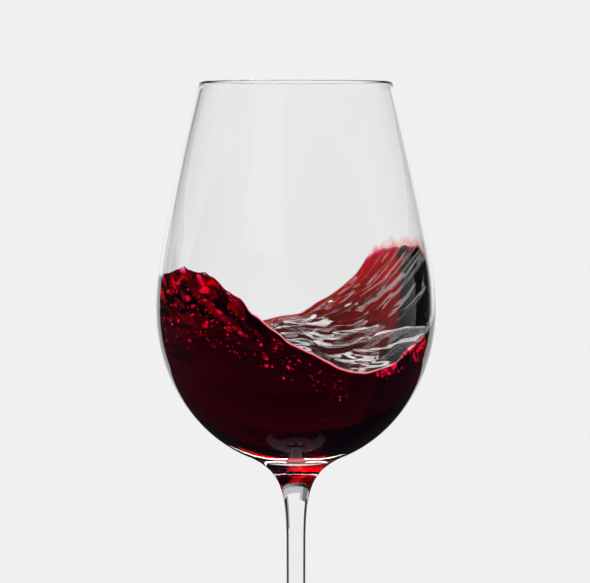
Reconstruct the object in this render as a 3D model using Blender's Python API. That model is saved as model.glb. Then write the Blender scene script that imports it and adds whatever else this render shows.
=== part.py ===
"""A stemmed glass of red wine, with the wine caught mid swirl.

The glass stands on its foot at the origin, +Z up, in metres. -Y is the front.
It is one solid: bowl, stem and foot. The wine is a second solid inside it,
filled up to a wave that climbs the wall front left and back right.
"""

import math

import bmesh
import bpy
import numpy as np

# Bowl
GLASS_HEIGHT = 0.230
RIM_RADIUS = 0.0326
BELLY_RADIUS = 0.0475
BELLY_HEIGHT = 0.1525
SHOULDER_BEND = 0.025
OUTER_DROP = 0.0533
INNER_DROP = 0.0465
WALL = 0.0011
FLARE_RADIUS = 0.0175
BOTTOM_RADIUS = 0.004

# Stem and foot
STEM_RADIUS = 0.0033
FLARE_LENGTH = 0.00575
STEM_TOP = 0.083
FLARE_CROWDING = 1.6
FOOT_RADIUS = 0.040
FOOT_EDGE = 0.0015
FOOT_RISE = 0.0032
STEM_FOOT = 0.022
FOOT_CROWDING = 2.2
FOOT_ROUNDING = 0.0003

# Wine
WINE_GAP = 0.0004
MIDDLE_SAG = 0.0075
SHEET_DROP = 0.012
SHEET_REACH = 0.008
SHEET_SIDE = 215
SHEET_SPREAD = 65
SHEET_FADE = 40
SHEET_CURL = 1.5
RIDGE_HEIGHT = 0.0011
RIDGE_SPACING = 0.0125
RIDGE_TWIST = 2.6
RIDGE_SIDE = math.radians(15)
RIDGE_FADE = 4

# Where the wine meets the wall: degrees round from +X, height above the foot
WAVE_AT_WALL = (
    (0, 0.1650),
    (14, 0.1725),
    (40, 0.1720),
    (53, 0.1695),
    (64, 0.1608),
    (76, 0.1530),
    (90, 0.1460),
    (106, 0.1443),
    (130, 0.1430),
    (156, 0.1500),
    (180, 0.1630),
    (196, 0.1652),
    (205, 0.1668),
    (215, 0.1689),
    (220, 0.1678),
    (229, 0.1674),
    (235, 0.1654),
    (243, 0.1608),
    (247, 0.1588),
    (251, 0.1553),
    (260, 0.1497),
    (268, 0.1447),
    (279, 0.1403),
    (285, 0.1375),
    (292, 0.1353),
    (302, 0.1347),
    (311, 0.1356),
    (318, 0.1373),
    (324, 0.1408),
    (333, 0.1437),
    (349, 0.1510),
)

SIDES = 48
BOWL_RINGS = 20
INNER_RINGS = 18
FLARE_RINGS = 7
FOOT_RINGS = 7
WINE_WALL_RINGS = 13
WINE_TOP_RINGS = 12


def clear_scene():
    """Remove every object that the file starts with."""
    for obj in list(bpy.data.objects):
        bpy.data.objects.remove(obj, do_unlink=True)


def make_material(name, colour, roughness, metallic, clearness, ior):
    """Make a Principled material from the real surface's values."""
    material = bpy.data.materials.new(name)
    material.use_nodes = True
    shader = material.node_tree.nodes["Principled BSDF"]
    shader.inputs["Base Color"].default_value = (*colour, 1.0)
    shader.inputs["Roughness"].default_value = roughness
    shader.inputs["Metallic"].default_value = metallic
    shader.inputs["Transmission Weight"].default_value = clearness
    shader.inputs["IOR"].default_value = ior
    return material


def shoulder_bend(rise):
    """How far the wall has turned in, at a rise above the belly."""
    return math.sqrt(1.0 + (rise / SHOULDER_BEND) ** 2) - 1.0


def wall_radius(height, belly_radius, drop):
    """Radius of a bowl's wall: a straightening curve above the belly, an ellipse below."""
    rise = height - BELLY_HEIGHT
    if rise < 0.0:
        return belly_radius * math.sqrt(max(0.0, 1.0 - (rise / drop) ** 2))
    full_bend = shoulder_bend(GLASS_HEIGHT - BELLY_HEIGHT)
    return belly_radius - (BELLY_RADIUS - RIM_RADIUS) * shoulder_bend(rise) / full_bend


def outer_radius(height):
    return wall_radius(height, BELLY_RADIUS, OUTER_DROP)


def inner_radius(height):
    return wall_radius(height, BELLY_RADIUS - WALL, INNER_DROP)


def wine_radius(height):
    return wall_radius(height, BELLY_RADIUS - WALL - WINE_GAP, INNER_DROP - WINE_GAP)


def spaced(start, end, steps):
    """Even steps from start to end, with both ends."""
    return [start + (end - start) * step / steps for step in range(steps + 1)]


def upper_wall(radius_at, top, rings):
    """Radius and height of a wall's rings, from the top down to the belly."""
    return [(radius_at(height), height) for height in spaced(top, BELLY_HEIGHT, rings)]


def lower_wall(belly_radius, drop, last_radius, rings):
    """Radius and height below the belly, at even angles round the ellipse."""
    last_angle = math.acos(last_radius / belly_radius)
    points = []
    for angle in spaced(0.0, last_angle, rings)[1:]:
        points.append((belly_radius * math.cos(angle), BELLY_HEIGHT - drop * math.sin(angle)))
    return points


def glass_outline():
    """Half of the glass's section, from the inner bottom over the rim to the foot."""
    lip = WALL / 2.0
    lip_top = GLASS_HEIGHT - lip

    inside = upper_wall(inner_radius, lip_top, INNER_RINGS // 2)
    inside += lower_wall(BELLY_RADIUS - WALL, INNER_DROP, BOTTOM_RADIUS, INNER_RINGS // 2)
    inside.reverse()

    rim_middle = outer_radius(lip_top) - lip
    rim = []
    for degrees in (135, 90, 45):
        angle = math.radians(degrees)
        rim.append((rim_middle + lip * math.cos(angle), lip_top + lip * math.sin(angle)))

    outside = upper_wall(outer_radius, lip_top, BOWL_RINGS // 2)
    outside += lower_wall(BELLY_RADIUS, OUTER_DROP, FLARE_RADIUS, BOWL_RINGS // 2)

    flare_top = outside[-1][1]
    flare = []
    for step in range(1, FLARE_RINGS + 1):
        height = flare_top - (flare_top - STEM_TOP) * (step / FLARE_RINGS) ** FLARE_CROWDING
        fade = math.exp((height - flare_top) / FLARE_LENGTH)
        flare.append((STEM_RADIUS + (FLARE_RADIUS - STEM_RADIUS) * fade, height))

    foot = []
    for step in range(FOOT_RINGS + 1):
        climb = (1.0 - step / FOOT_RINGS) ** FOOT_CROWDING
        height = FOOT_EDGE + (STEM_FOOT - FOOT_EDGE) * climb
        fade = math.exp((FOOT_EDGE - height) / FOOT_RISE)
        foot.append((STEM_RADIUS + (FOOT_RADIUS - STEM_RADIUS) * fade, height))

    foot[-1] = (FOOT_RADIUS - FOOT_ROUNDING, FOOT_EDGE)
    foot.append((FOOT_RADIUS, FOOT_EDGE / 2.0))
    foot.append((FOOT_RADIUS - FOOT_ROUNDING, 0.0))
    return inside + rim + outside + flare + foot


def turn(mesh, rings, bottom_pole, top_pole):
    """Skin closed rings of points, first to last, and close both ends on a pole."""
    rows = [[mesh.verts.new(point) for point in ring] for ring in rings]
    for upper, lower in zip(rows, rows[1:]):
        for side in range(SIDES):
            after = (side + 1) % SIDES
            mesh.faces.new((upper[side], lower[side], lower[after], upper[after]))
    for row, pole in ((rows[0], top_pole), (rows[-1], bottom_pole)):
        middle = mesh.verts.new(pole)
        for side in range(SIDES):
            mesh.faces.new((middle, row[side], row[(side + 1) % SIDES]))
    bmesh.ops.recalc_face_normals(mesh, faces=mesh.faces)


def side_angles():
    return [2.0 * math.pi * side / SIDES for side in range(SIDES)]


def place(name, mesh, material, crease_degrees):
    """Turn a bmesh into a named, smooth shaded object."""
    bmesh.ops.triangulate(mesh, faces=mesh.faces)
    data = bpy.data.meshes.new(name)
    mesh.to_mesh(data)
    mesh.free()
    data.materials.append(material)
    data.shade_smooth()
    data.set_sharp_from_angle(angle=math.radians(crease_degrees))
    obj = bpy.data.objects.new(name, data)
    bpy.context.scene.collection.objects.link(obj)
    return obj


def build_glass():
    """Turn the glass's outline into one closed solid."""
    rings = []
    for radius, height in glass_outline():
        ring = [(radius * math.cos(a), radius * math.sin(a), height) for a in side_angles()]
        rings.append(ring)
    mesh = bmesh.new()
    turn(mesh, rings, (0.0, 0.0, 0.0), (0.0, 0.0, BELLY_HEIGHT - INNER_DROP))
    clear_glass = make_material("clear_glass", (0.95, 0.96, 0.96), 0.02, 0.0, 1.0, 1.5)
    return place("wine_glass", mesh, clear_glass, 50)


def wave_heights():
    """Height of the wine at the wall at each side, on a smooth closed curve."""
    angles = [math.radians(degrees) for degrees, _ in WAVE_AT_WALL]
    levels = [level for _, level in WAVE_AT_WALL]
    count = len(levels)
    heights = []
    for angle in side_angles():
        index = sum(knot <= angle for knot in angles) - 1
        knots = []
        for offset in (-1, 0, 1, 2):
            turns, wrapped = divmod(index + offset, count)
            knots.append((angles[wrapped] + 2.0 * math.pi * turns, levels[wrapped]))
        heights.append(smooth_between(knots, angle))
    return np.array(heights)


def smooth_between(knots, angle):
    """Cubic curve between the middle two of four knots, with slopes from their neighbours."""
    (a0, z0), (a1, z1), (a2, z2), (a3, z3) = knots
    span = a2 - a1
    slope_1 = (z2 - z0) / (a2 - a0) * span
    slope_2 = (z3 - z1) / (a3 - a1) * span
    t = (angle - a1) / span
    return (
        z1 * (2 * t**3 - 3 * t**2 + 1)
        + slope_1 * (t**3 - 2 * t**2 + t)
        + z2 * (3 * t**2 - 2 * t**3)
        + slope_2 * (t**3 - t**2)
    )


def ease(share):
    """Rise smoothly from 0 to 1 as the share does."""
    share = np.clip(share, 0.0, 1.0)
    return share**2 * (3.0 - 2.0 * share)


def wave_surface(heights, share):
    """Heights of the wine at a share of the way from the axis to the wall.

    The surface is stretched like a skin over the curve at the wall: each
    ripple round the wall dies away towards the axis, the short ones first.
    The swirl hollows its middle and drags it into spiral ridges, which are
    tallest on the side where the wave climbs highest. On the other side the
    wine is thrown up the wall as a sheet, and falls away behind it.
    """
    waves = np.fft.rfft(heights)
    orders = np.arange(len(waves))
    skin = np.fft.irfft(waves * share**orders, n=SIDES)
    angles = np.array(side_angles())
    radius = share * BELLY_RADIUS
    ridges = np.sin(2.0 * math.pi * radius / RIDGE_SPACING + RIDGE_TWIST * np.cos(angles))
    fade = share * (1.0 - share**RIDGE_FADE) * (1.0 + np.cos(angles - RIDGE_SIDE))
    thrown = ease((SHEET_SPREAD - abs(np.degrees(angles) - SHEET_SIDE)) / SHEET_FADE)
    behind = (1.0 - share) * BELLY_RADIUS / SHEET_REACH
    sheet = SHEET_DROP * thrown * ease(share) * (1.0 - np.exp(-(behind**SHEET_CURL)))
    return skin - MIDDLE_SAG * (1.0 - share**2) + RIDGE_HEIGHT * fade * ridges - sheet


def build_wine():
    """Fill the bowl from its inner bottom up to the wave."""
    wall_heights = wave_heights()
    bottom = BELLY_HEIGHT - INNER_DROP + WINE_GAP
    cosines = np.cos(side_angles())
    sines = np.sin(side_angles())
    wall_radii = np.array([wine_radius(height) for height in wall_heights])

    rings = []
    for ring in range(1, WINE_TOP_RINGS):
        share = ring / WINE_TOP_RINGS
        heights = wave_surface(wall_heights, share)
        radii = wall_radii * share
        rings.append(list(zip(radii * cosines, radii * sines, heights)))
    for ring in range(WINE_WALL_RINGS):
        turned = math.pi / 2.0 * ring / WINE_WALL_RINGS
        heights = bottom + (wall_heights - bottom) * (1.0 - math.sin(turned))
        radii = np.array([wine_radius(height) for height in heights])
        rings.append(list(zip(radii * cosines, radii * sines, heights)))

    middle = float(wave_surface(wall_heights, 0.0)[0])
    mesh = bmesh.new()
    turn(mesh, rings, (0.0, 0.0, bottom), (0.0, 0.0, middle))
    wine = make_material("red_wine", (0.10, 0.003, 0.012), 0.03, 0.0, 0.6, 1.34)
    return place("red_wine", mesh, wine, 60)


clear_scene()
build_glass()
build_wine()
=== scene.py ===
"""A glass of red wine caught mid swirl, dressed on its frame."""
import math

import bmesh
import bpy
import numpy as np
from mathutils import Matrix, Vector, noise


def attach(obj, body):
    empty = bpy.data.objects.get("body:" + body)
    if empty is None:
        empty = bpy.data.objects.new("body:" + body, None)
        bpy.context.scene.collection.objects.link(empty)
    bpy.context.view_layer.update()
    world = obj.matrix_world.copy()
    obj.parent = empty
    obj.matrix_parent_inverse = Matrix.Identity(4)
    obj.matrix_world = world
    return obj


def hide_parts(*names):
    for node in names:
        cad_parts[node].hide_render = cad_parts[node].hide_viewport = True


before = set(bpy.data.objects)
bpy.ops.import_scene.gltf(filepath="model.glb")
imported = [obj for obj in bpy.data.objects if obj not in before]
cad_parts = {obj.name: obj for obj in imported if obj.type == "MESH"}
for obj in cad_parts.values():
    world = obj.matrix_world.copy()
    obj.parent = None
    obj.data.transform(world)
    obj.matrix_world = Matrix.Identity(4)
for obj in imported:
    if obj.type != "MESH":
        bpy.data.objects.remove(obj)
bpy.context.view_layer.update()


# Camera
# A long lens a little above the rim, level with the eye of someone at the table.
# The picture is 590 by 583 pixels, with the stem's axis one pixel right of its middle.
LENS = 234.0
SENSOR = 36.0
EYE_DISTANCE = 1.30
EYE_HEIGHT = 0.253
AIM_HEIGHT = 0.1587
AXIS_OFFSET = -0.00034

lens = bpy.data.cameras.new("camera")
lens.lens = LENS
lens.sensor_width = SENSOR
camera = bpy.data.objects.new("camera", lens)
bpy.context.scene.collection.objects.link(camera)
camera.location = (AXIS_OFFSET, -EYE_DISTANCE, EYE_HEIGHT)
sight = Vector((0.0, EYE_DISTANCE, AIM_HEIGHT - EYE_HEIGHT))
camera.rotation_euler = sight.to_track_quat("-Z", "Y").to_euler()
bpy.context.scene.camera = camera


# Glass
# One piece of clear blown glass: a tulip bowl, a drawn stem and a flat foot.
# It is turned from its half section, with a wall that thickens to the bowl's bottom.
GLASS_HEIGHT = 0.230
RIM_RADIUS = 0.0326
BELLY_RADIUS = 0.0475
BELLY_HEIGHT = 0.1525
SHOULDER_BEND = 0.025
OUTER_DROP = 0.0533
INNER_DROP = 0.0465
WALL = 0.0011
FLARE_RADIUS = 0.0175
FLARE_LENGTH = 0.00575
STEM_RADIUS = 0.0033
STEM_WAIST = 0.075
FOOT_RADIUS = 0.040
FOOT_EDGE = 0.0015
FOOT_RISE = 0.0032
FOOT_BLEND = 0.035
FOOT_ROUNDING = 0.0003
FOOT_SEAT = 0.001
FOOT_MIDDLE = 0.002
GLASS_SIDES = 240
RIM_POINTS = 11
SHOULDER_RINGS = 30
BELLY_RINGS = 44
FLARE_RINGS = 40
FLARE_CROWDING = 1.6
FOOT_RINGS = 44
FOOT_CROWDING = 2.2
EDGE_POINTS = 9
UNDER_RINGS = 6
WET_RINGS = 40
DRY_RINGS = 30
GLASS_TINT = (0.955, 0.957, 0.957)
THICK_TINT = (0.925, 0.927, 0.927)
GLASS_IOR = 1.5
GLASS_GLOSS = 0.3
BELOW_BELLY = 0.020


class Wire:
    """A shader value: arithmetic on it adds the nodes that work it out."""

    def __init__(self, tree, socket=None):
        self.tree = tree
        self.socket = socket

    def node(self, kind, settings=None, output=0, **inputs):
        """Add a node, give it its settings and then its inputs, and return an output."""
        made = self.tree.nodes.new("ShaderNode" + kind)
        for setting, value in (settings or {}).items():
            setattr(made, setting, value)
        for name, value in inputs.items():
            entry = made.inputs[int(name[1:]) if name[1:].isdigit() else name.replace("_", " ")]
            if isinstance(value, Wire):
                self.tree.links.new(value.socket, entry)
            else:
                entry.default_value = value
        return Wire(self.tree, made.outputs[output])

    def into(self, shader, *names):
        """Feed this value to sockets of a shader or of the material's output."""
        for name in names:
            self.tree.links.new(self.socket, shader.inputs[name])

    def spread(self, low, high, bottom=0.0, top=1.0):
        """Run from bottom to top as this value goes from low to high."""
        return self.node(
            "MapRange", {}, 0, Value=self, From_Min=low, From_Max=high, To_Min=bottom, To_Max=top
        )

    def colour(self, first, second):
        """A colour that goes from the first to the second as this value goes from 0 to 1."""
        return self.node("Mix", {"data_type": "RGBA"}, 2, _0=self, _6=(*first, 1.0), _7=(*second, 1.0))

    def _math(self, operation, first, second):
        return self.node("Math", {"operation": operation}, _0=first, _1=second)

    def __sub__(self, other):
        return self._math("SUBTRACT", self, other)

    def __rsub__(self, other):
        return self._math("SUBTRACT", other, self)

    def __mul__(self, other):
        return self._math("MULTIPLY", self, other)

    __rmul__ = __mul__


def start_material(name, **constants):
    """A new material, its Principled shader with plain values set, and a wire at its place."""
    material = bpy.data.materials.new(name)
    material.use_nodes = True
    shader = material.node_tree.nodes["Principled BSDF"]
    for socket, value in constants.items():
        shader.inputs[socket.replace("_", " ")].default_value = value
    return material, shader, Wire(material.node_tree).node("TexCoord", {}, "Object")


def shoulder_bend(rise):
    return np.sqrt(1.0 + (rise / SHOULDER_BEND) ** 2) - 1.0


def wall_radius(height, belly_radius, drop):
    """Radius of a bowl's wall: a straightening curve above the belly, an ellipse below."""
    rise = np.asarray(height, float) - BELLY_HEIGHT
    full_bend = shoulder_bend(GLASS_HEIGHT - BELLY_HEIGHT)
    above = belly_radius - (BELLY_RADIUS - RIM_RADIUS) * shoulder_bend(rise) / full_bend
    below = belly_radius * np.sqrt(np.clip(1.0 - (rise / drop) ** 2, 0.0, 1.0))
    return np.where(rise > 0.0, above, below)


# Where the wine meets the wall: degrees round from +X, height above the foot
WAVE_AT_WALL = (
    (0, 0.1650),
    (14, 0.1725),
    (40, 0.1720),
    (53, 0.1695),
    (64, 0.1608),
    (76, 0.1530),
    (90, 0.1460),
    (106, 0.1443),
    (130, 0.1430),
    (156, 0.1500),
    (180, 0.1630),
    (196, 0.1652),
    (205, 0.1668),
    (215, 0.1689),
    (220, 0.1678),
    (229, 0.1674),
    (235, 0.1654),
    (243, 0.1608),
    (247, 0.1588),
    (251, 0.1553),
    (260, 0.1497),
    (268, 0.1447),
    (279, 0.1403),
    (285, 0.1375),
    (292, 0.1353),
    (302, 0.1347),
    (311, 0.1356),
    (318, 0.1373),
    (324, 0.1408),
    (333, 0.1437),
    (349, 0.1510),
)
LINE_JITTER = 0.0005
LINE_SCALE = 10.0
LINE_LAYER = 2.0
CREST_JITTER = 0.0010
CREST_SCALE = 15.0
CREST_LAYER = 4.0
CRESTS = ((182, 262), (4, 62))
CREST_BLEND = 8.0


def ease(value, start, end):
    """Rise smoothly from 0 at the start to 1 at the end."""
    share = np.clip((value - start) / (end - start), 0.0, 1.0)
    return share * share * (3.0 - 2.0 * share)


def window(value, rise_from, rise_to, fall_from, fall_to):
    """Rise smoothly from 0 to 1, stay, and fall back to 0."""
    return ease(value, rise_from, rise_to) * ease(value, fall_to, fall_from)


def ragged(at, scale, layer):
    """Smooth noise round the bowl, from about -1 to 1."""
    return np.array([noise.noise((scale * math.cos(a), scale * math.sin(a), layer)) for a in at])


def wave_line(at):
    """Height of the wine at the wall at each angle: a smooth closed curve, slightly ragged."""
    knots, levels = np.array(WAVE_AT_WALL).T
    knots = np.radians(knots)
    count = len(knots)
    index = np.searchsorted(knots, at, side="right") - 1
    wrapped = [(index + step) % count for step in (-1, 0, 1, 2)]
    turned = [(index + step) // count for step in (-1, 0, 1, 2)]
    a0, a1, a2, a3 = [knots[w] + 2.0 * math.pi * t for w, t in zip(wrapped, turned)]
    z0, z1, z2, z3 = [levels[w] for w in wrapped]
    span = a2 - a1
    slope_1 = (z2 - z0) / (a2 - a0) * span
    slope_2 = (z3 - z1) / (a3 - a1) * span
    t = (at - a1) / span
    degrees = np.degrees(at) % 360.0
    at_crests = sum(
        window(degrees, start - CREST_BLEND, start + CREST_BLEND, end - CREST_BLEND, end + CREST_BLEND)
        for start, end in CRESTS
    )
    return (
        z1 * (2 * t**3 - 3 * t**2 + 1)
        + slope_1 * (t**3 - 2 * t**2 + t)
        + z2 * (3 * t**2 - 2 * t**3)
        + slope_2 * (t**3 - t**2)
        + LINE_JITTER * ragged(at, LINE_SCALE, LINE_LAYER)
        + CREST_JITTER * at_crests * ragged(at, CREST_SCALE, CREST_LAYER)
    )


def glass_outside():
    """Radius and height down the outside of the glass, from the rim to under the foot."""
    lip = WALL / 2.0
    lip_top = GLASS_HEIGHT - lip
    rim_middle = float(wall_radius(lip_top, BELLY_RADIUS, OUTER_DROP)) - lip
    over = np.linspace(math.pi, 0.0, RIM_POINTS)
    rim = np.stack([rim_middle + lip * np.cos(over), lip_top + lip * np.sin(over)], 1)

    rise = np.linspace(lip_top, BELLY_HEIGHT, SHOULDER_RINGS)[1:-1]
    shoulder = np.stack([wall_radius(rise, BELLY_RADIUS, OUTER_DROP), rise], 1)
    turn_in = np.linspace(0.0, math.acos(FLARE_RADIUS / BELLY_RADIUS), BELLY_RINGS)
    belly = np.stack([
        BELLY_RADIUS * np.cos(turn_in),
        BELLY_HEIGHT - OUTER_DROP * np.sin(turn_in),
    ], 1)

    flare_top = belly[-1, 1]
    down = np.linspace(0.0, 1.0, FLARE_RINGS)[1:] ** FLARE_CROWDING
    flare_height = flare_top - (flare_top - STEM_WAIST) * down
    narrowing = np.exp((flare_height - flare_top) / FLARE_LENGTH)
    flare = np.stack([STEM_RADIUS + (FLARE_RADIUS - STEM_RADIUS) * narrowing, flare_height], 1)

    up = (1.0 - np.linspace(0.0, 1.0, FOOT_RINGS)) ** FOOT_CROWDING
    foot_height = FOOT_EDGE + FOOT_BLEND * up
    widening = np.exp((FOOT_EDGE - foot_height) / FOOT_RISE)
    foot = np.stack([STEM_RADIUS + (FOOT_RADIUS - STEM_RADIUS) * widening, foot_height], 1)
    foot[-1, 0] -= FOOT_ROUNDING
    round_edge = np.linspace(math.pi / 2.0, -math.pi / 2.0, EDGE_POINTS)[1:]
    edge = np.stack([
        FOOT_RADIUS - FOOT_ROUNDING + FOOT_ROUNDING * np.cos(round_edge),
        FOOT_EDGE / 2.0 + FOOT_EDGE / 2.0 * np.sin(round_edge),
    ], 1)
    inward = np.linspace(FOOT_RADIUS - FOOT_SEAT, FOOT_MIDDLE, UNDER_RINGS)
    under = np.stack([inward, np.zeros(UNDER_RINGS)], 1)
    return np.concatenate([rim, shoulder, belly, flare, foot, edge, under])


def skin_rings(name, rings, first_pole, last_pole):
    """A closed, smooth mesh over rings of points, with a pole at each end."""
    count, sides, _ = rings.shape
    points = np.concatenate([rings.reshape(-1, 3), [first_pole, last_pole]])
    first, last = count * sides, count * sides + 1
    side = np.arange(sides)
    after = (side + 1) % sides
    faces = [(first, int(b), int(a)) for a, b in zip(side, after)]
    for ring in range(count - 1):
        upper, lower = ring * sides, (ring + 1) * sides
        faces += np.stack([upper + side, upper + after, lower + after, lower + side], 1).tolist()
    low = (count - 1) * sides
    faces += [(last, low + int(a), low + int(b)) for a, b in zip(side, after)]
    mesh = bpy.data.meshes.new(name)
    mesh.from_pydata(points.tolist(), [], faces)
    mesh.shade_smooth()
    piece = bpy.data.objects.new(name, mesh)
    bpy.context.scene.collection.objects.link(piece)
    return piece


angles = np.linspace(0.0, 2.0 * math.pi, GLASS_SIDES, endpoint=False)
line = wave_line(angles)
low, high = BELLY_HEIGHT - INNER_DROP, GLASS_HEIGHT - WALL / 2.0
inner_heights = [line + (high - line) * share for share in np.linspace(1.0, 0.0, DRY_RINGS + 1)[1:-1]]
for turned in np.linspace(0.0, math.pi / 2.0, WET_RINGS + 1)[:-1]:
    inner_heights.append(low + (line - low) * (1.0 - math.sin(turned)))
inner_heights = np.array(inner_heights)
inner_radii = wall_radius(inner_heights, BELLY_RADIUS - WALL, INNER_DROP)
inner = np.stack([inner_radii * np.cos(angles), inner_radii * np.sin(angles), inner_heights], 2)
section = glass_outside()[::-1]
outer = np.stack([
    section[:, :1] * np.cos(angles),
    section[:, :1] * np.sin(angles),
    np.repeat(section[:, 1:], GLASS_SIDES, 1),
], 2)
glass = skin_rings("glass", np.concatenate([outer, inner]), (0, 0, 0), (0, 0, low))
strip = np.arange(len(glass.data.polygons)) // GLASS_SIDES
wetted = strip > len(outer) + len(inner) - WET_RINGS


def clear(name, tint, gloss, seen):
    """Clear glass, faintly uneven; where it isn't seen, light passes it unbent."""
    material, shader, place = start_material(
        name, Base_Color=(*tint, 1.0), Roughness=0.0, Transmission_Weight=1.0, IOR=GLASS_IOR,
        Specular_Tint=(gloss, gloss, gloss, 1.0), Alpha=seen
    )
    ripple = place.node("TexNoise", {}, "Fac", Vector=place, Scale=18.0, Detail=1.0)
    place.node("Bump", {}, 0, Strength=0.02, Distance=0.001, Height=ripple).into(shader, "Normal")
    return material


# Where wine wets the wall, the skin of the wine does the bending, as glass and wine touch there
glass.data.materials.append(clear("clear_glass", GLASS_TINT, GLASS_GLOSS, 1.0))
glass.data.materials.append(clear("wetted_glass", GLASS_TINT, 0.0, 0.0))
glass.data.materials.append(clear("clear_glass_below", THICK_TINT, 0.0, 1.0))
low_faces = np.array([face.center.z < BELLY_HEIGHT - BELOW_BELLY for face in glass.data.polygons])
slots = np.where(wetted, 1, np.where(low_faces, 2, 0))
glass.data.polygons.foreach_set("material_index", slots.astype(np.int32))
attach(glass, "root")
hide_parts("wine_glass")


# Wine
# Red wine thrown up the bowl's wall by a swirl, high front left and back right.
# It fills the bowl and reaches just into the glass, so no air shows between them.
WINE_INTO_WALL = 0.00015
MIDDLE_SAG = 0.0075
WINE_SIDES = 480
TOP_RINGS = 150
DEEP_RINGS = 40
WINE_IOR = 1.34
# How strongly the wine takes up red, green and blue light, for each metre
ABSORBED = (50.0, 2500.0, 1300.0)
# A faint violet glow painted on the skin where it touches the glass, in place of light that the wine
# scatters
PAINTED_GLOW_COLOUR = (0.5, 0.1, 1.0)
PAINTED_GLOW_STRENGTH = 0.002

# The edge at the wall: it climbs in a meniscus, and bulges where the wave is thrown up
MENISCUS_HEIGHT = 0.0016
MENISCUS_REACH = 0.0013
BULGE_HEIGHT = 0.0022
BULGE_REACH = 0.0028
CREST_BULGES = ((182.0, 200.0, 250.0, 268.0), (4.0, 14.0, 100.0, 128.0))
LIP = 0.7
LIP_SIDES = (252.0, 268.0, 330.0, 350.0)

# The sheet thrown up the wall at the front left, hollow behind
SHEET_DROP = 0.012
SHEET_REACH = 0.008
SHEET_SIDE = 215.0
SHEET_SPREAD = 65.0
SHEET_FADE = 40.0
SHEET_CURL = 1.5

# Relief of the open top: cells to the metre along x and y, offset, layer of the noise, share
SWELLS = ((70.0, 95.0, 0.0, 5.0, 1.0), (150.0, 190.0, 0.0, 6.0, 0.35))
CHOPS = ((110.0, 150.0, 5.0, 1.0, 0.8), (260.0, 420.0, 0.0, 1.0, 0.5))
CREASES = ((48.0, 125.0, 0.0, 11.0, 1.0), (130.0, 260.0, 0.0, 12.0, 0.25))
RIDGE_WARPS = ((45.0, 45.0, 0.0, 3.0, 0.006),)
RIDGE_WEAR = ((60.0, 60.0, 0.0, 8.0, 1.1),)
SWELL_HEIGHT = 0.0024
CALM = 0.45
CHOP_HEIGHT = 0.0028
CALM_CHOP = 0.08
CREASE_DEPTH = 0.0021
CREASE_HEADING = (0.94, 0.34)
RIDGE_HEIGHT = 0.0020
RIDGE_SPACING = 0.0090
RIDGE_SLANT = 0.35
RIDGE_SHARPNESS = 10
RIDGE_LEFT = 0.45
CALM_FROM, STIRRED_FROM = 0.002, -0.020
MIDDLE_FADE = 6.0
EDGE_FADE = 24


def relief(x, y, layers, folded=False):
    """Noise of several sizes added up; folded noise has sharp valleys."""
    total = 0.0
    for along, across, offset, layer, share in layers:
        height = noise.noise((x * along + offset, y * across, layer))
        total += share * (abs(height) if folded else height)
    return total


def stirred(x, y):
    """Height of the swell, the long ridges, the chop and the creases at a spot, in metres."""
    left = float(ease(x, CALM_FROM, STIRRED_FROM))
    phase = (y - RIDGE_SLANT * x + relief(x, y, RIDGE_WARPS)) / RIDGE_SPACING * math.pi
    ridge = max(RIDGE_LEFT + relief(x, y, RIDGE_WEAR), 0.0) * abs(math.cos(phase)) ** RIDGE_SHARPNESS
    turn, tip = CREASE_HEADING
    creases = relief(x * turn + y * tip, y * turn - x * tip, CREASES, folded=True)
    return (
        SWELL_HEIGHT * (CALM + (1.0 - CALM) * left) * relief(x, y, SWELLS)
        + RIDGE_HEIGHT * (1.0 - left) * ridge
        + CHOP_HEIGHT * (CALM_CHOP + (1.0 - CALM_CHOP) * left) * relief(x, y, CHOPS)
        - CREASE_DEPTH * (1.0 - left) * creases
    )


def wine_radius(height):
    grown = BELLY_RADIUS - WALL + WINE_INTO_WALL
    return wall_radius(height, grown, INNER_DROP + WINE_INTO_WALL)


wine_angles = np.linspace(0.0, 2.0 * math.pi, WINE_SIDES, endpoint=False)
wall_heights = wave_line(wine_angles)
wall_radii = wine_radius(wall_heights)
waves = np.fft.rfft(wall_heights)
orders = np.arange(len(waves))
around = np.degrees(wine_angles)
bulging = sum(window(around, *sides) for sides in CREST_BULGES) + LIP * window(around, *LIP_SIDES)
climbing = 1.0 - bulging
thrown = ease(SHEET_SPREAD - abs(around - SHEET_SIDE), 0.0, SHEET_FADE)

# The top is a skin stretched over the wave line, then pulled down, thrown up and stirred
wine_rings = []
for share in np.sin(np.linspace(0.0, math.pi / 2.0, TOP_RINGS + 1)[1:]):
    radii = wall_radii * share
    xs, ys = radii * np.cos(wine_angles), radii * np.sin(wine_angles)
    skin = np.fft.irfft(waves * share**orders, n=WINE_SIDES)
    depth = wall_radii - radii
    climb = MENISCUS_HEIGHT * (1.0 - np.exp(-depth / MENISCUS_REACH))
    bulge = BULGE_HEIGHT * depth / BULGE_REACH * np.exp(-depth / BULGE_REACH)
    curl = 1.0 - np.exp(-((depth / SHEET_REACH) ** SHEET_CURL))
    sheet = SHEET_DROP * thrown * ease(share, 0.0, 1.0) * curl
    heights = skin - MIDDLE_SAG * (1.0 - share**2) - climbing * climb + bulging * bulge - sheet
    fade = min(1.0, share * MIDDLE_FADE) * (1.0 - share**EDGE_FADE)
    rough = np.array([stirred(x, y) for x, y in zip(xs, ys)])
    wine_rings.append(np.stack([xs, ys, heights + fade * rough], 1))
bottom = BELLY_HEIGHT - INNER_DROP - WINE_INTO_WALL
for turned in np.linspace(0.0, math.pi / 2.0, DEEP_RINGS + 1)[1:-1]:
    heights = bottom + (wall_heights - bottom) * (1.0 - math.sin(turned))
    radii = wine_radius(heights)
    wine_rings.append(np.stack([radii * np.cos(wine_angles), radii * np.sin(wine_angles), heights], 1))
middle = float(wine_rings[0][:, 2].mean())
wine = skin_rings("wine", np.array(wine_rings)[::-1], (0, 0, bottom), (0, 0, middle))

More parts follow.
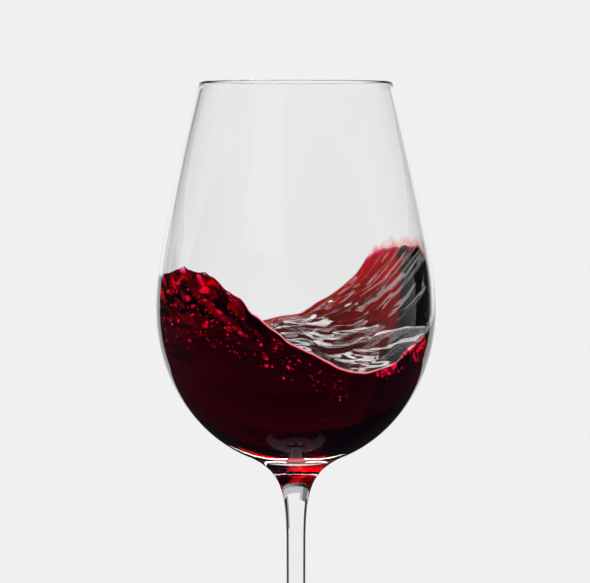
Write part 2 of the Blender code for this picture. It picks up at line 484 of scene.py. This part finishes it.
# The skin is marked where it touches the glass: light bends less there than at the open top
mark = np.zeros(len(wine.data.vertices), np.float32)
mark[:DEEP_RINGS * WINE_SIDES] = 1.0
mark[-2] = 1.0
wine.data.attributes.new("at_wall", "FLOAT", "POINT").data.foreach_set("value", mark)

red_wine, open_top, place = start_material(
    "red_wine", Base_Color=(1.0, 1.0, 1.0, 1.0), Roughness=0.0, Transmission_Weight=1.0, IOR=WINE_IOR
)
swell = place.node("TexNoise", {}, "Fac", Vector=place, Scale=60.0, Detail=2.0)
place.node("Bump", {}, 0, Strength=0.03, Distance=0.001, Height=swell).into(open_top, "Normal")
# Where it touches the glass the skin also glows faintly violet: painted light, for light scattered in
# the wine
touching = place.node(
    "BsdfPrincipled", {}, 0, Base_Color=(1.0, 1.0, 1.0, 1.0), Roughness=0.0, Transmission_Weight=1.0,
    IOR=WINE_IOR / GLASS_IOR, Specular_Tint=(0.0, 0.0, 0.0, 1.0),
    Emission_Color=(*PAINTED_GLOW_COLOUR, 1.0), Emission_Strength=PAINTED_GLOW_STRENGTH
)
at_wall = place.node("Attribute", {"attribute_name": "at_wall"}, "Fac")
skin = place.node("MixShader", {}, 0, _0=at_wall, _1=Wire(place.tree, open_top.outputs[0]), _2=touching)
density = max(ABSORBED)
passed = [1.0 - taken / density for taken in ABSORBED]
depth = place.node("VolumeAbsorption", {}, 0, Color=(*passed, 1.0), Density=density)
output = place.tree.nodes["Material Output"]
skin.into(output, "Surface")
depth.into(output, "Volume")
wine.data.materials.append(red_wine)
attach(wine, "root")
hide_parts("red_wine")


# Wine film
# The thin film of wine that the wave has left on the wall above its rear crest.
# A shell hardly thicker than paper on the inside of the bowl, fading out upward.
# It glows red: painted light in place of the light that shines through so thin a layer of wine.
FILM_SIDES = (6.0, 18.0, 44.0, 60.0)
FILM_HEIGHT = 0.0042
FILM_LEAST = 0.0006
FILM_SUNK = 0.0004
FILM_THICKNESS = 0.00005
FILM_OFF_WALL = 0.00003
FILM_COLUMNS = 160
FILM_ROWS = 14
FILM_OPACITY = 0.62


def film_on_wall(name, angles, feet, tops):
    """A closed thin shell on the inside of the bowl, marked from 1 at its foot to 0 at its top."""
    rows, columns = FILM_ROWS, len(angles)
    layers = []
    for inward in (FILM_OFF_WALL, FILM_OFF_WALL + FILM_THICKNESS):
        for row in range(rows):
            level = feet + (tops - feet) * row / (rows - 1)
            radius = wall_radius(level, BELLY_RADIUS - WALL, INNER_DROP) - inward
            layers.append(np.stack([radius * np.cos(angles), radius * np.sin(angles), level], 1))
    grid = np.arange(2 * rows * columns).reshape(2, rows, columns)
    faces = []
    for turned_over, layer in enumerate(grid):
        corners = [layer[:-1, :-1], layer[:-1, 1:], layer[1:, 1:], layer[1:, :-1]]
        cells = np.stack(corners, -1).reshape(-1, 4)
        faces += (cells[:, ::-1] if turned_over else cells).tolist()
    border = np.concatenate([grid[0, 0, :-1], grid[0, :-1, -1], grid[0, -1, :0:-1], grid[0, :0:-1, 0]])
    under = border + rows * columns
    faces += np.stack([np.roll(border, -1), border, under, np.roll(under, -1)], 1).tolist()
    shades = np.tile(np.repeat(1.0 - np.arange(rows) / (rows - 1), columns), 2)
    mesh = bpy.data.meshes.new(name)
    mesh.from_pydata(np.concatenate(layers).tolist(), [], faces)
    mesh.shade_smooth()
    thick = mesh.attributes.new("thick", "FLOAT", "POINT")
    thick.data.foreach_set("value", shades.astype(np.float32))
    piece = bpy.data.objects.new(name, mesh)
    bpy.context.scene.collection.objects.link(piece)
    return piece


film_angles = np.radians(np.linspace(FILM_SIDES[0], FILM_SIDES[-1], FILM_COLUMNS))
ends = window(np.degrees(film_angles), *FILM_SIDES)
tall = np.array([0.75 + 0.9 * noise.noise((9.0 * a, 0.0, 14.0)) for a in film_angles])
feet = wave_line(film_angles) - FILM_SUNK
film = film_on_wall("wine_film", film_angles, feet, feet + FILM_LEAST + FILM_HEIGHT * ends * tall)
# Wine red that glows: painted light, for light let through the thin film
thin_wine_painted_glow, shader, place = start_material(
    "thin_wine_painted_glow", Base_Color=(0.80, 0.07, 0.08, 1.0), Roughness=0.5,
    Emission_Color=(0.9, 0.12, 0.13, 1.0), Emission_Strength=0.55
)
thick = place.node("Attribute", {"attribute_name": "thick"}, "Fac")
beads = place.node("TexNoise", {}, "Fac", Vector=place, Scale=500.0, Detail=2.0)
seen = FILM_OPACITY * thick * (1.6 * beads - 0.1)
seen.into(shader, "Alpha")
film.data.materials.append(thin_wine_painted_glow)
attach(film, "root")
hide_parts("red_wine")


# Meniscus
# The bead of wine that clings to the front wall along the foot of the wave.
# A shell like the film, red below and pale at its top edge, where it is thinnest. It glows: a painted
# highlight along the wave's foot, in place of light shining through the bead.
BEAD_SIDES = (236.0, 262.0, 300.0, 326.0)
BEAD_HEIGHT = 0.00068
BEAD_LEAST = 0.15
BEAD_SUNK = 0.00015
BEAD_COLUMNS = 320
BEAD_GLOW_PALE = (0.75, 0.42, 0.46)
BEAD_GLOW_RED = (0.80, 0.0, 0.04)

bead_angles = np.radians(np.linspace(BEAD_SIDES[0], BEAD_SIDES[-1], BEAD_COLUMNS))
uneven = np.array([0.9 + 0.5 * noise.noise((14.0 * a, 3.0, 9.0)) for a in bead_angles])
ends = window(np.degrees(bead_angles), *BEAD_SIDES) * uneven
feet = wave_line(bead_angles) - BEAD_SUNK
tops = feet + BEAD_SUNK + BEAD_HEIGHT * (BEAD_LEAST + (1.0 - BEAD_LEAST) * ends)
bead = film_on_wall("meniscus_painted_glow", bead_angles, feet, tops)
# Red and pale colour that glows: a painted highlight, for light let through the bead
meniscus_painted_glow, shader, place = start_material("meniscus_painted_glow", Roughness=0.2, Emission_Strength=0.5)
thick = place.node("Attribute", {"attribute_name": "thick"}, "Fac")
thick.spread(0.35, 0.75).colour(BEAD_GLOW_PALE, BEAD_GLOW_RED).into(shader, "Base Color", "Emission Color")
thick.spread(0.0, 0.35, 0.2, 0.9).into(shader, "Alpha")
bead.data.materials.append(meniscus_painted_glow)
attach(bead, "root")
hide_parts("red_wine")


# Bubbles
# Air beaten into the wine by the swirl, held under the glass along the foot of the wave.
# Small closed balls, wholly sunk in the wine, drawn out a little along the stream.
# The balls are opaque and glow crimson in patches: painted glints in place of the light that real
# bubbles catch.
SCATTERED = 190
BUBBLE_SIDES = (192.0, 296.0)
BUBBLE_RADII = (0.00013, 0.00075)
BUBBLE_SIZES = (1.0, 3.6)
BUBBLE_COVER = 0.002
DRAWN_OUT = (1.0, 1.9)
SINKING = (1.6, 2.2)
SUNK_LEFT, SUNK_RIGHT = 0.027, 0.010
SHALLOW_FROM, SHALLOW_TO = 232.0, 282.0
FINER_RIGHT = 0.5
FINER_FROM, FINER_TO = 255.0, 286.0
UNDER_SKIN = 0.00035
# Patches of froth: side, height, spread in degrees, spread in height, count
FROTH = ((315.0, 0.1353, 6.5, 0.0012, 70), (334.0, 0.1422, 7.0, 0.0024, 120))
FROTH_PACKING = 0.6
FROTH_COVER = 0.0008
FROTH_RADII = (0.0002, 0.00055)
# Larger pockets of air, glowing as painted glints: side, height, radius, how far drawn out
GLINTING_POCKETS = (
    (238.0, 0.1532, 0.00105, 3.6),
    (217.5, 0.1585, 0.00110, 1.6),
    (227.5, 0.1616, 0.00115, 2.6),
    (246.0, 0.1484, 0.00075, 3.4),
    (229.0, 0.1500, 0.00095, 1.2),
    (241.5, 0.1492, 0.00080, 1.9),
    (210.0, 0.1630, 0.00080, 2.6),
    (222.0, 0.1560, 0.00060, 1.5),
    (256.9, 0.1403, 0.00070, 1.8),
    (203.0, 0.1600, 0.00070, 2.2),
)
BALL_DETAIL = 3
STREAM_STEP = 0.05
# Dim and bright crimson of the painted glints on the bubbles
GLINT_DIM = (0.12, 0.0, 0.01)
GLINT_BRIGHT = (1.0, 0.01, 0.11)

rng = np.random.default_rng(7)
spots = []
for _ in range(SCATTERED):
    side = rng.uniform(*BUBBLE_SIDES)
    shallow = float(ease(side, SHALLOW_FROM, SHALLOW_TO))
    sunk = rng.beta(*SINKING) * (SUNK_LEFT + (SUNK_RIGHT - SUNK_LEFT) * shallow)
    level = float(wave_line(np.radians([side]))[0]) - BUBBLE_COVER - sunk
    radius = BUBBLE_RADII[0] + (BUBBLE_RADII[1] - BUBBLE_RADII[0]) * rng.beta(*BUBBLE_SIZES)
    radius *= 1.0 - FINER_RIGHT * float(ease(side, FINER_FROM, FINER_TO))
    spots.append((side, level, radius, rng.uniform(*DRAWN_OUT)))
for middle_side, middle_level, side_spread, level_spread, count in FROTH:
    for _ in range(count):
        side = middle_side + side_spread * rng.normal() * FROTH_PACKING
        top = float(wave_line(np.radians([side]))[0]) - FROTH_COVER
        level = min(middle_level + level_spread * rng.normal(), top)
        spots.append((side, level, rng.uniform(*FROTH_RADII), 1.0))
spots += GLINTING_POCKETS

ball = bmesh.new()
bmesh.ops.create_icosphere(ball, subdivisions=BALL_DETAIL, radius=1.0)
ball_points = np.array([v.co[:] for v in ball.verts])
ball_faces = np.array([[v.index for v in f.verts] for f in ball.faces])
ball.free()
points, faces = [], []
for side, level, radius, drawn in spots:
    side = math.radians(side)
    out = np.array([math.cos(side), math.sin(side), 0.0])
    along = np.array([-math.sin(side), math.cos(side), 0.0])
    ahead, behind = wave_line(np.array([side + STREAM_STEP, side - STREAM_STEP]))
    tilt = math.atan2(ahead - behind, 2.0 * STREAM_STEP * BELLY_RADIUS)
    stream = along * math.cos(tilt) + np.array([0.0, 0.0, math.sin(tilt)])
    across = np.cross(out, stream)
    centre = out * (float(wine_radius(level)) - WINE_INTO_WALL - UNDER_SKIN - radius)
    centre[2] = level
    right, ahead, up = ball_points[:, :1], ball_points[:, 1:2], ball_points[:, 2:]
    faces.append(ball_faces + len(ball_points) * len(points))
    points.append(centre + radius * (right * out + drawn * ahead * stream + up * across))
mesh = bpy.data.meshes.new("bubbles")
mesh.from_pydata(np.concatenate(points).tolist(), [], np.concatenate(faces).tolist())
mesh.shade_smooth()
bubbles = bpy.data.objects.new("bubbles", mesh)
bpy.context.scene.collection.objects.link(bubbles)
# An opaque crimson that glows, in random dim and bright patches: painted glints
bubble_glint, shader, place = start_material("bubble_painted_glint", Roughness=0.12, Emission_Strength=0.45)
glint_patches = place.node("TexNoise", {}, "Fac", Vector=place, Scale=420.0, Detail=0.0)
glint_patches.spread(0.38, 0.60).colour(GLINT_DIM, GLINT_BRIGHT).into(shader, "Base Color", "Emission Color")
bubbles.data.materials.append(bubble_glint)
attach(bubbles, "root")
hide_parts("red_wine")


# Floor and backdrop
# A pale round floor of paper that runs into a backdrop of the same brightness.
# Round it stands a room of glowing sheets, which only the glass and the wine show.
FLOOR_RADIUS = 6.0
FLOOR_SIDES = 96
FLOOR_DROP = 0.0001
PAPER = (0.86, 0.86, 0.865)
BACKDROP = (0.872, 0.872, 0.876)
SHADE_ENDS = (0.10, 0.32)
SHEET_COLUMNS = 25
SHEET_ROWS = 13
GAP_LEFT, GAP_RIGHT = -29.0, 34.0
DIM_DISTANCE = 3.2
DIM = 0.02
BOUNCES = 24
MIRRORINGS = 12

# Sheets of the room: azimuths from straight behind, elevations, distance, brightness, and
# whether they show through the wine and glass, mirrored in them, or both
ROOM = (
    ("lit_ring", (0, 360), (-90, 9), 6.2, 0.90, "through"),
    ("lamp_ring", (0, 360), (9, 20), 6.2, 0.55, "through"),
    ("ceiling", (0, 360), (20, 90), 6.2, 0.015, "through"),
    ("low_ceiling_1", (-14, -5), (20, 31), 6.0, 0.07, "through"),
    ("low_ceiling_2", (-5, 4), (20, 31), 6.0, 0.15, "through"),
    ("low_ceiling_3", (4, 14), (20, 31), 6.0, 0.24, "through"),
    ("low_ceiling_4", (14, 60), (20, 31), 6.0, 0.32, "through"),
    ("crown_glow", (0, 360), (70, 90), 3.1, 3.5, "through"),
    ("crown_lamp", (0, 360), (82, 90), 3.0, 8.0, "both"),
    ("rear_lamp", (-15, 32), (41, 59), 3.0, 15.0, "both"),
    ("left_lamp", (-78, -47), (36, 62), 3.0, 5.5, "both"),
    ("ground_below", (0, 360), (-90, -76), 5.6, 0.03, "through"),
    ("ground_behind", (-50, 50), (-76, -42), 5.6, 0.32, "through"),
    ("ground_low", (-45, 45), (-42, -20.5), 5.6, 0.50, "through"),
    ("left_shade_1", (-44, -20), (3, 21), 5.6, 0.20, "through"),
    ("left_shade_2", (-20, -12), (3, 21), 5.6, 0.50, "through"),
    ("left_flag", (-62, -36), (-10.1, 8), 5.6, 0.02, "through"),
    ("right_flag", (36, 62), (-10.1, 8), 5.6, 0.02, "through"),
    ("right_half_flag", (28, 36), (-6.3, 8), 5.6, 0.35, "through"),
    ("dim_room", (GAP_RIGHT, 360.0 + GAP_LEFT), (-90, 90), DIM_DISTANCE, DIM, "mirrored"),
    ("dim_sky", (GAP_LEFT, GAP_RIGHT), (12, 90), DIM_DISTANCE, DIM, "mirrored"),
    ("dim_ground", (GAP_LEFT, GAP_RIGHT), (-90, -14), DIM_DISTANCE, DIM, "mirrored"),
)

# A bright curve on the ground behind, mirrored as an arc in the bottom of the bowl
STREAK_SIDES = (-12.5, 11.0)
STREAK_LOWEST = -47.0
STREAK_BEND = 0.13
STREAK_HALF = 3.4
STREAK_DISTANCE = 2.8
STREAK_GLOW = 8.0
STREAK_COLUMNS = 30


def seen_by(stand, camera=False, diffuse=False, glossy=False, transmission=False, shadow=False):
    """Choose which rays meet a stage piece."""
    stand.visible_camera = camera
    stand.visible_diffuse = diffuse
    stand.visible_glossy = glossy
    stand.visible_transmission = transmission
    stand.visible_shadow = shadow


def glowing(name, colour):
    """A plain stage material of an even brightness, its glow, and its output."""
    material = bpy.data.materials.new(name)
    material.use_nodes = True
    nodes = material.node_tree.nodes
    nodes.remove(nodes["Principled BSDF"])
    glow = Wire(material.node_tree).node("Emission", {}, 0, Color=(*colour, 1.0))
    glow.into(nodes["Material Output"], "Surface")
    return material, glow, nodes["Material Output"]


def glowing_sheet(name, sides, rises, distance, brightness):
    """A curved sheet at one distance from the belly, over a grid of azimuths and elevations."""
    level = distance * np.cos(rises)
    heights = BELLY_HEIGHT + distance * np.sin(rises)
    points = np.stack([level * np.sin(sides), level * np.cos(sides), heights], -1).reshape(-1, 3)
    grid = np.arange(len(points)).reshape(sides.shape)
    corners = [grid[:-1, :-1], grid[:-1, 1:], grid[1:, 1:], grid[1:, :-1]]
    mesh = bpy.data.meshes.new(name)
    mesh.from_pydata(points.tolist(), [], np.stack(corners, -1).reshape(-1, 4).tolist())
    mesh.materials.append(glowing(name, (brightness, brightness, brightness))[0])
    sheet = bpy.data.objects.new(name, mesh)
    bpy.context.scene.collection.objects.link(sheet)
    return sheet


paper, glow, output = glowing("paper", BACKDROP)
reach = glow.node("VectorMath", {"operation": "LENGTH"}, 1, _0=glow.node("TexCoord", {}, "Object"))
far = glow.node(
    "MapRange", {"interpolation_type": "SMOOTHSTEP"}, 0, Value=reach,
    From_Min=SHADE_ENDS[0], From_Max=SHADE_ENDS[1]
)
matt = glow.node("BsdfDiffuse", {}, 0, Color=(*PAPER, 1.0))
glow.node("MixShader", {}, 0, _0=far, _1=matt, _2=glow).into(output, "Surface")
edge = np.linspace(0.0, 2.0 * math.pi, FLOOR_SIDES, endpoint=False)
corners = [(FLOOR_RADIUS * math.cos(a), FLOOR_RADIUS * math.sin(a), -FLOOR_DROP) for a in edge]
mesh = bpy.data.meshes.new("floor")
mesh.from_pydata(corners, [], [tuple(range(FLOOR_SIDES))])
mesh.materials.append(paper)
floor = bpy.data.objects.new("floor", mesh)
bpy.context.scene.collection.objects.link(floor)
seen_by(floor, camera=True, diffuse=True, shadow=True)

for name, azimuths, elevations, distance, brightness, shown in ROOM:
    across = np.radians(np.linspace(*azimuths, SHEET_COLUMNS))
    up = np.radians(np.linspace(*elevations, SHEET_ROWS))
    sheet = glowing_sheet(name, *np.meshgrid(across, up), distance, brightness)
    seen_by(sheet, glossy=shown != "through", transmission=shown != "mirrored")

turns = np.linspace(*STREAK_SIDES, STREAK_COLUMNS)
middle = STREAK_LOWEST + STREAK_BEND * turns**2
drops = np.radians([middle - STREAK_HALF, middle + STREAK_HALF])
streak = glowing_sheet("streak", np.radians([turns, turns]), drops, STREAK_DISTANCE, STREAK_GLOW)
seen_by(streak, glossy=True)

world = bpy.data.worlds.new("room")
world.use_nodes = True
world.node_tree.nodes["Background"].inputs["Color"].default_value = (*BACKDROP, 1.0)
bpy.context.scene.world = world
bpy.context.scene.view_settings.view_transform = "Standard"
bpy.context.scene.cycles.max_bounces = BOUNCES
bpy.context.scene.cycles.transmission_bounces = BOUNCES
bpy.context.scene.cycles.glossy_bounces = MIRRORINGS


# Lights
# One softbox front left of the glass and above it, which lights the paper round the foot.
# It is a flat rectangle that faces the bowl.
SOFTBOX_SIDE = -30.0
SOFTBOX_RISE = 24.0
SOFTBOX_DISTANCE = 1.5
SOFTBOX_SIZE = (0.85, 0.45)
SOFTBOX_STRENGTH = 0.9
SOFTBOX_AIM = 0.16

light = bpy.data.lights.new("front_left_softbox", "AREA")
light.shape = "RECTANGLE"
light.size, light.size_y = SOFTBOX_SIZE
light.energy = SOFTBOX_STRENGTH * SOFTBOX_SIZE[0] * SOFTBOX_SIZE[1] * math.pi
softbox = bpy.data.objects.new("front_left_softbox", light)
side, rise = math.radians(SOFTBOX_SIDE), math.radians(SOFTBOX_RISE)
away = Vector((math.sin(side) * math.cos(rise), -math.cos(side) * math.cos(rise), math.sin(rise)))
softbox.location = Vector((0.0, 0.0, SOFTBOX_AIM)) + away * SOFTBOX_DISTANCE
softbox.rotation_euler = away.to_track_quat("Z", "Y").to_euler()
softbox.visible_camera = False
bpy.context.scene.collection.objects.link(softbox)
